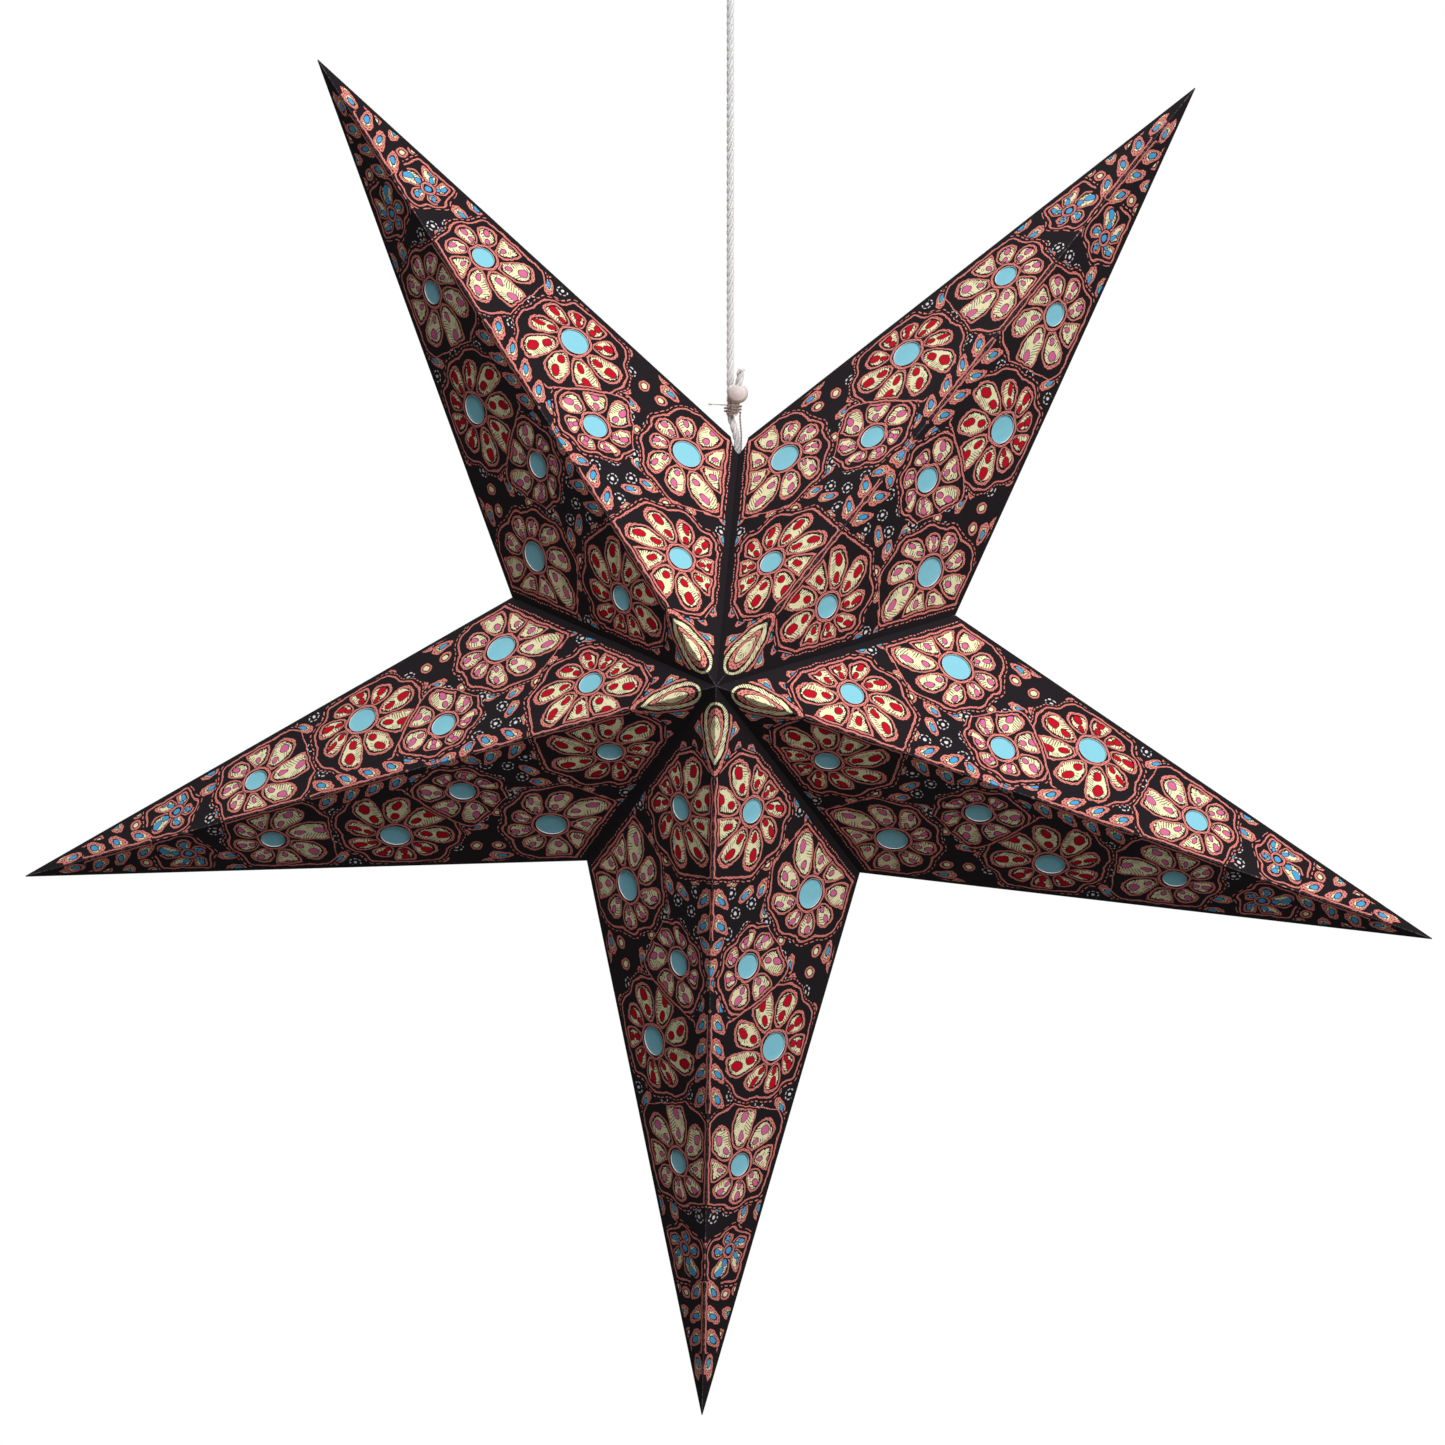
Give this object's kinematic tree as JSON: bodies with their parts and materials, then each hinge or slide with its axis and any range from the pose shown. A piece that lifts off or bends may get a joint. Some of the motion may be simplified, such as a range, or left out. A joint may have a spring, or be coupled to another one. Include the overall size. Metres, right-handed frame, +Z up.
{
  "type": "paper star lantern",
  "caption": "Hollow folded paper star with pointed arms, round tissue windows and a floral print, tied at its top seam and hung on a twisted cord with a bead.",
  "frame": {"origin": "top of the hanging loop, on the line of the cord, where a hook carries the lantern", "axes": "+X to the right seen from the front, +Y towards the back through the star's thickness, +Z up the cord"},
  "size_m": [0.595, 0.1694, 0.6514],
  "materials": {
    "printed_paper": "matte",
    "black_paper": "matte",
    "blue_tissue": "matte",
    "cotton_cord": "matte",
    "brown_twine": "matte",
    "bead": "satin"
  },
  "bodies": {
    "hanger": {"hanging_loop": "cotton_cord", "loop_knot": "cotton_cord", "hanging_cord": "cotton_cord"},
    "tie": {"binding_twine": "brown_twine", "cord_end": "cotton_cord", "cord_strand": "cotton_cord", "stopper_knot": "cotton_cord", "lacing_twine": "brown_twine", "twine_knot": "brown_twine"},
    "bead": {"cord_bead": "bead"},
    "upper_left": {"upper_left_panel_front_left": "printed_paper", "upper_left_panel_front_right": "printed_paper", "upper_left_panel_back_left": "printed_paper", "upper_left_panel_back_right": "printed_paper", "upper_left_flap_front_left": "black_paper", "upper_left_flap_front_right": "black_paper", "upper_left_flap_back_left": "black_paper", "upper_left_flap_back_right": "black_paper", "upper_left_liner": "blue_tissue"},
    "lower_left": {"lower_left_panel_front_left": "printed_paper", "lower_left_panel_front_right": "printed_paper", "lower_left_panel_back_left": "printed_paper", "lower_left_panel_back_right": "printed_paper", "lower_left_flap_front_left": "black_paper", "lower_left_flap_front_right": "black_paper", "lower_left_flap_back_left": "black_paper", "lower_left_flap_back_right": "black_paper", "lower_left_liner": "blue_tissue"},
    "bottom": {"bottom_panel_front_left": "printed_paper", "bottom_panel_front_right": "printed_paper", "bottom_panel_back_left": "printed_paper", "bottom_panel_back_right": "printed_paper", "bottom_flap_front_left": "black_paper", "bottom_flap_front_right": "black_paper", "bottom_flap_back_left": "black_paper", "bottom_flap_back_right": "black_paper", "bottom_liner": "blue_tissue"},
    "lower_right": {"lower_right_panel_front_left": "printed_paper", "lower_right_panel_front_right": "printed_paper", "lower_right_panel_back_left": "printed_paper", "lower_right_panel_back_right": "printed_paper", "lower_right_flap_front_left": "black_paper", "lower_right_flap_front_right": "black_paper", "lower_right_flap_back_left": "black_paper", "lower_right_flap_back_right": "black_paper", "lower_right_liner": "blue_tissue"},
    "upper_right": {"upper_right_panel_front_left": "printed_paper", "upper_right_panel_front_right": "printed_paper", "upper_right_panel_back_left": "printed_paper", "upper_right_panel_back_right": "printed_paper", "upper_right_flap_front_left": "black_paper", "upper_right_flap_front_right": "black_paper", "upper_right_flap_back_left": "black_paper", "upper_right_flap_back_right": "black_paper", "upper_right_liner": "blue_tissue"}
  },
  "joints": [
    {"name": "turn_on_cord", "type": "hinge", "parent": "hanger", "child": "tie", "pos_m": [0, 0, -0.222], "axis": [0, 0, 1], "range_deg": [-180, 180]},
    {"name": "bead_slide", "type": "slide", "parent": "tie", "child": "bead", "axis": [0.1585, -0.2536, 0.9542], "range_m": [0, 0.005]},
    {"name": "fold", "type": "hinge", "parent": "tie", "child": "upper_left", "pos_m": [0, 0, -0.3355], "axis": [0, 1, 0], "range_deg": [0, 31.5], "deforming": ["upper_left_panel_front_left", "upper_left_panel_front_right", "upper_left_panel_back_left", "upper_left_panel_back_right", "upper_left_flap_front_left", "upper_left_flap_front_right", "upper_left_flap_back_left", "upper_left_flap_back_right", "upper_left_liner"]},
    {"name": "fold_lower_left", "type": "hinge", "parent": "upper_left", "child": "lower_left", "pos_m": [0, 0, -0.3355], "axis": [0, 1, 0], "range_deg": [0, 63], "deforming": ["lower_left_panel_front_left", "lower_left_panel_front_right", "lower_left_panel_back_left", "lower_left_panel_back_right", "lower_left_flap_front_left", "lower_left_flap_front_right", "lower_left_flap_back_left", "lower_left_flap_back_right", "lower_left_liner"]},
    {"name": "fold_bottom", "type": "hinge", "parent": "lower_left", "child": "bottom", "pos_m": [0, 0, -0.3355], "axis": [0, 1, 0], "range_deg": [0, 63], "deforming": ["bottom_panel_front_left", "bottom_panel_front_right", "bottom_panel_back_left", "bottom_panel_back_right", "bottom_flap_front_left", "bottom_flap_front_right", "bottom_flap_back_left", "bottom_flap_back_right", "bottom_liner"]},
    {"name": "fold_lower_right", "type": "hinge", "parent": "bottom", "child": "lower_right", "pos_m": [0, 0, -0.3355], "axis": [0, 1, 0], "range_deg": [0, 63], "deforming": ["lower_right_panel_front_left", "lower_right_panel_front_right", "lower_right_panel_back_left", "lower_right_panel_back_right", "lower_right_flap_front_left", "lower_right_flap_front_right", "lower_right_flap_back_left", "lower_right_flap_back_right", "lower_right_liner"]},
    {"name": "fold_upper_right", "type": "hinge", "parent": "lower_right", "child": "upper_right", "pos_m": [0, 0, -0.3355], "axis": [0, 1, 0], "range_deg": [0, 63], "deforming": ["upper_right_panel_front_left", "upper_right_panel_front_right", "upper_right_panel_back_left", "upper_right_panel_back_right", "upper_right_flap_front_left", "upper_right_flap_front_right", "upper_right_flap_back_left", "upper_right_flap_back_right", "upper_right_liner"]}
  ],
  "couplings": [
    {"joint": "fold_lower_left", "follows": "fold", "ratio": 2},
    {"joint": "fold_bottom", "follows": "fold", "ratio": 2},
    {"joint": "fold_lower_right", "follows": "fold", "ratio": 2},
    {"joint": "fold_upper_right", "follows": "fold", "ratio": 2}
  ]
}
